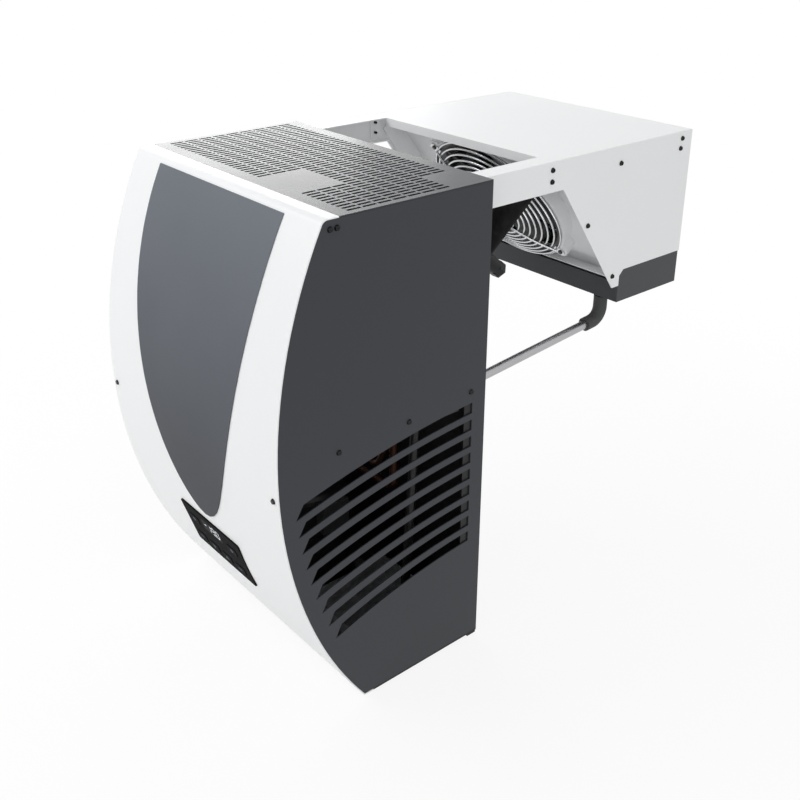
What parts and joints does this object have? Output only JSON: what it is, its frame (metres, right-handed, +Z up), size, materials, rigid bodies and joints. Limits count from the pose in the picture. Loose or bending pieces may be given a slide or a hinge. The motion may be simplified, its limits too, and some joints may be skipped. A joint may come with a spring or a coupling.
{
  "type": "wall-mounted refrigeration unit",
  "caption": "Straddle unit for a cold room wall: bowed condensing hood outside, arms over the wall, sloping-fan evaporator and drip tray inside, drain tube back to the hood.",
  "frame": {"origin": "middle of the hood's rear face, at the height of the arms' undersides, which is the top of the wall it hangs on", "axes": "+X to the right of a person facing the hood, +Y from the hood towards the cold room, +Z up"},
  "size_m": [0.404, 0.7296, 0.653],
  "materials": {
    "white_sheet": "semi-gloss powder coat",
    "dark_sheet": "satin powder coat",
    "grey_sheet": "semi-gloss powder coat",
    "black_sheet": "satin paint",
    "zinc_sheet": "galvanised",
    "grey_trim": "glossy foil",
    "black_plastic": "gloss",
    "black_plastic_matte": "matt",
    "display": "smoked window",
    "circuit_board": "solder resist",
    "dark_plastic": "fine grain",
    "white_plastic": "fine grain",
    "key_plastic": "soft touch",
    "gland_plastic": "fine grain",
    "fan_plastic": "moulded",
    "motor_paint": "satin paint",
    "fins": "mill finish",
    "copper": "drawn copper",
    "steel": "drawn",
    "rubber": "matt",
    "foam": "closed-cell foam",
    "guard_wire": "plastic-coated wire",
    "black_screw": "blackened"
  },
  "bodies": {
    "unit": {"front_cover": "white_sheet", "front_trim": "grey_trim", "control_panel": "black_plastic", "display_window": "display", "control_board": "circuit_board", "control_box": "dark_plastic", "side_panel_left": "dark_sheet", "side_panel_right": "dark_sheet", "top_grille": "grey_sheet", "back_plate": "dark_sheet", "base_plate": "black_sheet", "condenser_coil": "fins", "condenser_tubes": "copper", "condenser_brackets": "dark_sheet", "condenser_shroud": "dark_sheet", "condenser_motor": "motor_paint", "condenser_motor_bracket": "zinc_sheet", "compressor": "black_sheet", "compressor_grommets": "rubber", "compressor_cap": "dark_plastic", "filter_drier": "copper", "discharge_pipe": "copper", "liquid_pipe": "copper", "suction_pipe": "copper", "condensate_pan": "zinc_sheet", "cable_gland": "gland_plastic", "gland_nut": "gland_plastic", "suction_line": "foam", "liquid_line": "foam", "cable_conduit": "black_plastic_matte", "rear_grommets": "rubber", "evap_side_left": "white_sheet", "evap_side_right": "white_sheet", "evap_cover": "white_sheet", "fan_plate": "white_sheet", "fan_guard": "guard_wire", "evap_motor": "motor_paint", "evap_motor_bracket": "zinc_sheet", "evap_coil": "fins", "evap_coil_tubes": "copper", "evap_pipes": "copper", "defrost_heater": "steel", "rear_grille": "white_plastic", "drip_tray": "dark_plastic", "drain_nozzle": "steel", "drain_elbow": "rubber", "drain_tube": "steel", "hood_screws": "black_screw", "evap_screws": "black_screw", "arm_bolts": "steel"},
    "condenser_impeller": {"condenser_fan": "fan_plastic", "condenser_fan_shaft": "steel"},
    "evaporator_impeller": {"evap_fan": "fan_plastic", "evap_fan_shaft": "steel"},
    "key_1": {"key_1": "key_plastic"},
    "key_2": {"key_2": "key_plastic"},
    "key_3": {"key_3": "key_plastic"},
    "key_4": {"key_4": "key_plastic"},
    "key_5": {"key_5": "key_plastic"},
    "key_6": {"key_6": "key_plastic"}
  },
  "joints": [
    {"name": "condenser_fan_spin", "type": "hinge", "parent": "unit", "child": "condenser_impeller", "pos_m": [0, -0.117, -0.02], "axis": [0, 0, 1], "continuous": true},
    {"name": "evaporator_fan_spin", "type": "hinge", "parent": "unit", "child": "evaporator_impeller", "pos_m": [0, 0.22977, -0.05291], "axis": [0, -0.8151, -0.5793], "continuous": true},
    {"name": "key_1_press", "type": "slide", "parent": "unit", "child": "key_1", "axis": [0, 0.9495, 0.3137], "range_m": [0, 0.0008], "stiffness_N_per_m": 400},
    {"name": "key_2_press", "type": "slide", "parent": "unit", "child": "key_2", "axis": [0, 0.9495, 0.3137], "range_m": [0, 0.0008], "stiffness_N_per_m": 400},
    {"name": "key_3_press", "type": "slide", "parent": "unit", "child": "key_3", "axis": [0, 0.9495, 0.3137], "range_m": [0, 0.0008], "stiffness_N_per_m": 400},
    {"name": "key_4_press", "type": "slide", "parent": "unit", "child": "key_4", "axis": [0, 0.9495, 0.3137], "range_m": [0, 0.0008], "stiffness_N_per_m": 400},
    {"name": "key_5_press", "type": "slide", "parent": "unit", "child": "key_5", "axis": [0, 0.9495, 0.3137], "range_m": [0, 0.0008], "stiffness_N_per_m": 400},
    {"name": "key_6_press", "type": "slide", "parent": "unit", "child": "key_6", "axis": [0, 0.9495, 0.3137], "range_m": [0, 0.0008], "stiffness_N_per_m": 400}
  ]
}
